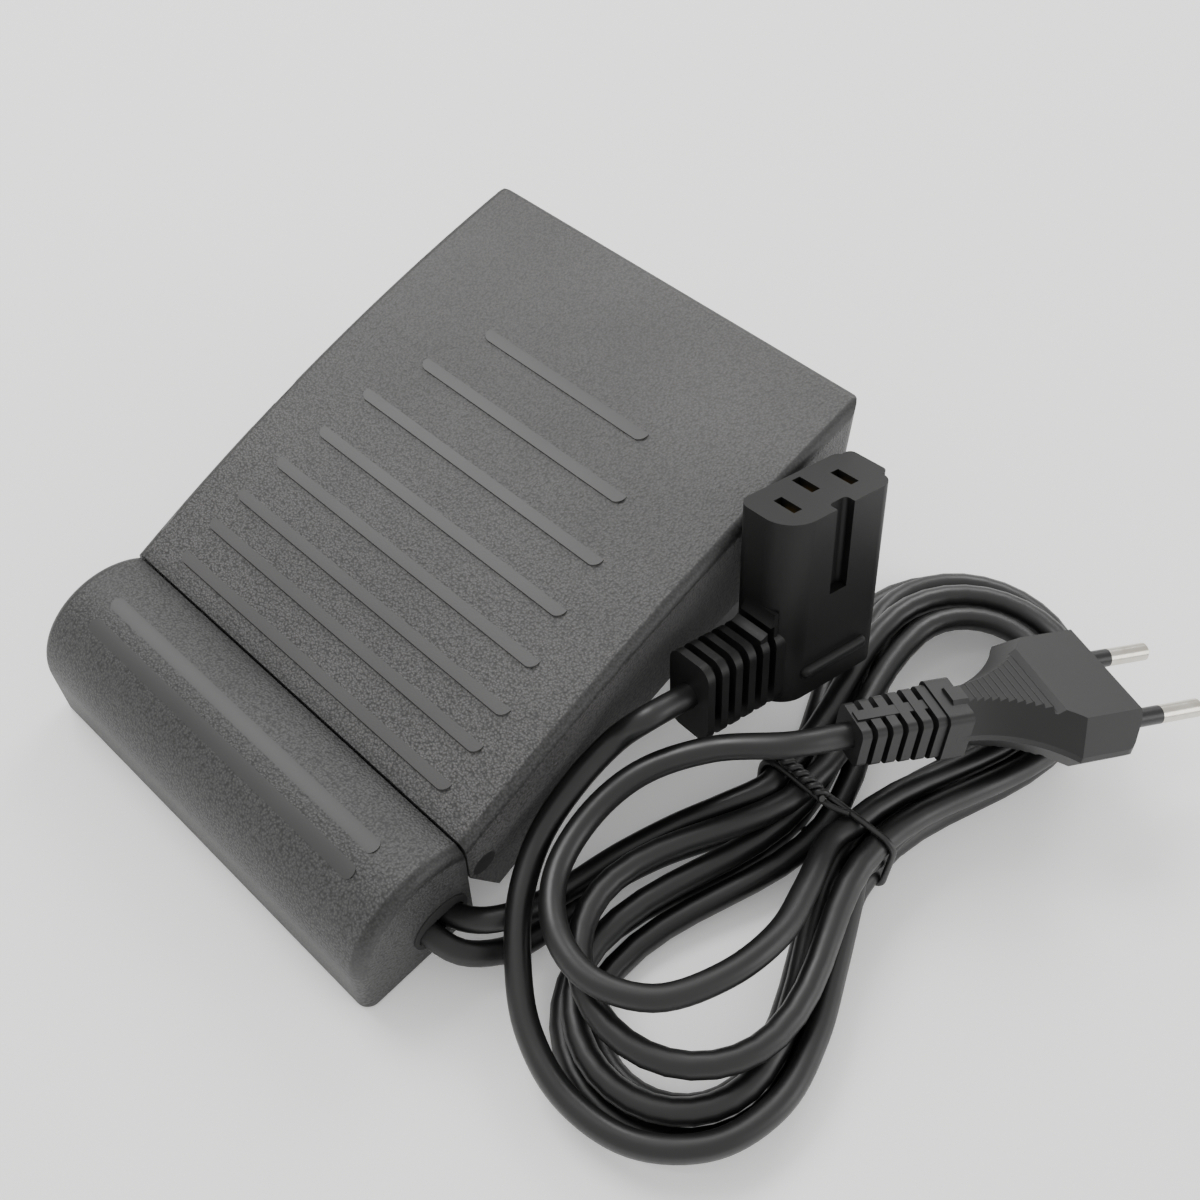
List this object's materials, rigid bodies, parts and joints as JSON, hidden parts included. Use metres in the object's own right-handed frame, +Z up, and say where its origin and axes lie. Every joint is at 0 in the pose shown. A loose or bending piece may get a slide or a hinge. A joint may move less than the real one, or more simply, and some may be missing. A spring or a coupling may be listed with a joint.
{
  "type": "sewing machine foot pedal",
  "caption": "Foot pedal that sets a sewing machine's speed: a sprung, curved treadle hinged on a low base, with a machine cord and a mains cord tied in a hank.",
  "frame": {"origin": "bottom centre of the pedal's own box, on the floor, without the cords, plug, connector and tie", "axes": "+X across the pedal towards the cord outlet, +Y from the heel to the toe, +Z up"},
  "size_m": [0.198, 0.1791, 0.0689],
  "materials": {
    "shell_plastic": "fine pebble texture",
    "base_plastic": "fine texture",
    "steel": "zinc plated",
    "spring_steel": "drawn wire",
    "nylon": "satin",
    "brass": "stamped strip",
    "phenolic": "laminate",
    "carbon": "matt",
    "board": "paper laminate",
    "component_black": "moulded epoxy",
    "heat_sink_aluminium": "extruded",
    "winding": "enamelled wire",
    "capacitor_film": "moulded case",
    "resistor_body": "lacquered",
    "terminal_nylon": "satin",
    "wire_blue": "insulation",
    "wire_brown": "insulation",
    "rubber_black": "matt",
    "moulded_black": "moulded soft plastic",
    "nickel": "nickel plated",
    "sleeve_black": "smooth",
    "tie_black": "coated wire",
    "cord_black": "smooth cable jacket"
  },
  "bodies": {
    "base": {"base_tray": "base_plastic", "heel_housing": "shell_plastic", "return_spring_left": "spring_steel", "return_spring_right": "spring_steel", "plunger_spring": "spring_steel", "track_plate": "phenolic", "carbon_track": "carbon", "circuit_board": "board", "triac": "component_black", "heat_sink": "heat_sink_aluminium", "choke": "winding", "capacitor": "capacitor_film", "resistors": "resistor_body", "board_screws": "steel", "terminal_block": "terminal_nylon", "terminal_screws": "steel", "core_wires": "wire_blue", "board_wires": "wire_brown", "cord_clamp": "base_plastic", "clamp_screw": "steel", "outlet_grommet": "rubber_black", "housing_screws": "steel", "rubber_feet": "rubber_black", "connector_body": "moulded_black", "connector_contacts": "brass", "plug_body": "moulded_black", "plug_pins": "nickel", "pin_sleeves": "sleeve_black", "twist_tie": "tie_black", "mains_lead_in": "cord_black", "mains_hank": "cord_black", "mains_lead_out": "cord_black", "machine_lead_in": "cord_black", "machine_hank": "cord_black", "machine_lead_out": "cord_black"},
    "treadle": {"treadle": "shell_plastic", "pivot_pin_left": "steel", "pivot_pin_right": "steel"},
    "plunger": {"plunger": "nylon", "wiper_arm": "brass"}
  },
  "joints": [
    {"name": "treadle_hinge", "type": "hinge", "parent": "base", "child": "treadle", "pos_m": [0, -0.0415, 0.018], "axis": [-1, 0, 0], "range_deg": [0, 9], "stiffness_Nm_per_rad": 2, "springref_deg": -6.88, "deforming": ["return_spring_left", "return_spring_right"]},
    {"name": "plunger_slide", "type": "slide", "parent": "base", "child": "plunger", "axis": [0, 0, -1], "range_m": [0, 0.0096], "deforming": ["plunger_spring"]}
  ],
  "couplings": [
    {"joint": "plunger_slide", "follows": "treadle_hinge", "m_per_rad": 0.0605}
  ]
}
